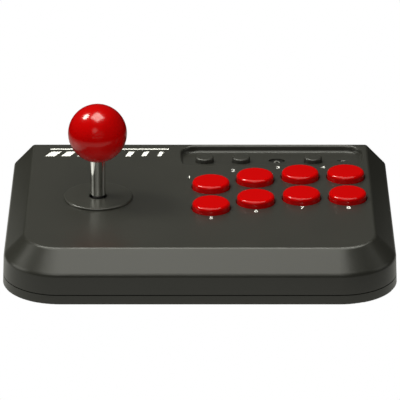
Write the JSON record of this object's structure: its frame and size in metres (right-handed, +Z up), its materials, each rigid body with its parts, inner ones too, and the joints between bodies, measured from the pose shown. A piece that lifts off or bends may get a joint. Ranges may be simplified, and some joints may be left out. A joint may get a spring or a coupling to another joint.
{
  "type": "arcade stick",
  "caption": "Compact desktop arcade stick: sloped dark housing, ball-top lever on a sprung gimbal, round red push buttons and a recessed row of menu keys.",
  "frame": {"origin": "On the ground under the middle of the body, at the underside of the feet", "axes": "+X to the player's right, +Y to the flat back, +Z up"},
  "size_m": [0.2016, 0.1491, 0.0794],
  "materials": {
    "shell_plastic": "satin, very fine texture",
    "washer_plastic": "satin",
    "sleeve_metal": "polished",
    "red_gloss": "polished",
    "red_plastic": "satin gloss",
    "acetal": "moulded, black",
    "steel": "plain",
    "board_laminate": "lacquered",
    "silicone": "matt",
    "component_black": "matt",
    "socket_white": "moulded",
    "ribbon_grey": "flexible",
    "lens_smoke": "smoked clear",
    "foot_rubber": "matt"
  },
  "bodies": {
    "housing": {"top_shell": "shell_plastic", "bottom_cover": "shell_plastic", "case_screws": "steel", "cable_gland": "foot_rubber", "button_board": "board_laminate", "board_screws": "steel", "button_dome_mat": "silicone", "menu_dome_mat": "silicone", "controller_chip": "component_black", "lead_socket": "socket_white", "ribbon_lead": "ribbon_grey", "indicator_lens": "lens_smoke", "indicator_led": "component_black", "dust_washer": "washer_plastic", "lever_cradle": "acetal", "cradle_screws": "steel", "gimbal_outer_pins": "steel", "centring_spring": "steel", "lever_dome_mat": "silicone", "lever_board": "board_laminate", "gate_plate": "acetal", "gate_screws": "steel", "foot_front_left": "foot_rubber", "foot_front_right": "foot_rubber", "foot_rear_left": "foot_rubber", "foot_rear_right": "foot_rubber"},
    "gimbal": {"gimbal_ring": "acetal", "gimbal_inner_pins": "steel"},
    "lever": {"lever_shaft": "steel", "lever_hub": "acetal", "shaft_sleeve": "sleeve_metal", "ball_top": "red_gloss", "rocker_foot": "acetal", "retaining_clip": "steel"},
    "button_1": {"action_button_1": "red_plastic"},
    "button_2": {"action_button_2": "red_plastic"},
    "button_3": {"action_button_3": "red_plastic"},
    "button_4": {"action_button_4": "red_plastic"},
    "button_5": {"action_button_5": "red_plastic"},
    "button_6": {"action_button_6": "red_plastic"},
    "button_7": {"action_button_7": "red_plastic"},
    "button_8": {"action_button_8": "red_plastic"},
    "menu_1": {"menu_button_1": "shell_plastic"},
    "menu_2": {"menu_button_2": "shell_plastic"},
    "menu_3": {"menu_button_3": "shell_plastic"},
    "home": {"home_button": "shell_plastic"}
  },
  "joints": [
    {"name": "lever_front_back", "type": "hinge", "parent": "housing", "child": "gimbal", "pos_m": [-0.05294, 0.00115, 0.02355], "axis": [1, 0, 0], "range_deg": [-8, 8], "stiffness_Nm_per_rad": 0.4, "deforming": ["centring_spring", "lever_dome_mat"]},
    {"name": "lever_left_right", "type": "hinge", "parent": "gimbal", "child": "lever", "pos_m": [-0.05294, 0.00115, 0.02355], "axis": [0, 1, 0], "range_deg": [-8, 8], "stiffness_Nm_per_rad": 0.4, "deforming": ["centring_spring", "lever_dome_mat"]},
    {"name": "press_button_1", "type": "slide", "parent": "housing", "child": "button_1", "axis": [0, 0, -1], "range_m": [0, 0.002], "stiffness_N_per_m": 250, "springref_m": -0.001, "deforming": ["button_dome_mat"]},
    {"name": "press_button_2", "type": "slide", "parent": "housing", "child": "button_2", "axis": [0, 0, -1], "range_m": [0, 0.002], "stiffness_N_per_m": 250, "springref_m": -0.001, "deforming": ["button_dome_mat"]},
    {"name": "press_button_3", "type": "slide", "parent": "housing", "child": "button_3", "axis": [0, 0, -1], "range_m": [0, 0.002], "stiffness_N_per_m": 250, "springref_m": -0.001, "deforming": ["button_dome_mat"]},
    {"name": "press_button_4", "type": "slide", "parent": "housing", "child": "button_4", "axis": [0, 0, -1], "range_m": [0, 0.002], "stiffness_N_per_m": 250, "springref_m": -0.001, "deforming": ["button_dome_mat"]},
    {"name": "press_button_5", "type": "slide", "parent": "housing", "child": "button_5", "axis": [0, 0, -1], "range_m": [0, 0.002], "stiffness_N_per_m": 250, "springref_m": -0.001, "deforming": ["button_dome_mat"]},
    {"name": "press_button_6", "type": "slide", "parent": "housing", "child": "button_6", "axis": [0, 0, -1], "range_m": [0, 0.002], "stiffness_N_per_m": 250, "springref_m": -0.001, "deforming": ["button_dome_mat"]},
    {"name": "press_button_7", "type": "slide", "parent": "housing", "child": "button_7", "axis": [0, 0, -1], "range_m": [0, 0.002], "stiffness_N_per_m": 250, "springref_m": -0.001, "deforming": ["button_dome_mat"]},
    {"name": "press_button_8", "type": "slide", "parent": "housing", "child": "button_8", "axis": [0, 0, -1], "range_m": [0, 0.002], "stiffness_N_per_m": 250, "springref_m": -0.001, "deforming": ["button_dome_mat"]},
    {"name": "press_menu_1", "type": "slide", "parent": "housing", "child": "menu_1", "axis": [0, 0, -1], "range_m": [0, 0.0008], "stiffness_N_per_m": 300, "springref_m": -0.0005, "deforming": ["menu_dome_mat"]},
    {"name": "press_menu_2", "type": "slide", "parent": "housing", "child": "menu_2", "axis": [0, 0, -1], "range_m": [0, 0.0008], "stiffness_N_per_m": 300, "springref_m": -0.0005, "deforming": ["menu_dome_mat"]},
    {"name": "press_menu_3", "type": "slide", "parent": "housing", "child": "menu_3", "axis": [0, 0, -1], "range_m": [0, 0.0008], "stiffness_N_per_m": 300, "springref_m": -0.0005, "deforming": ["menu_dome_mat"]},
    {"name": "press_home", "type": "slide", "parent": "housing", "child": "home", "axis": [0, 0, -1], "range_m": [0, 0.0008], "stiffness_N_per_m": 300, "springref_m": -0.0005, "deforming": ["menu_dome_mat"]}
  ]
}
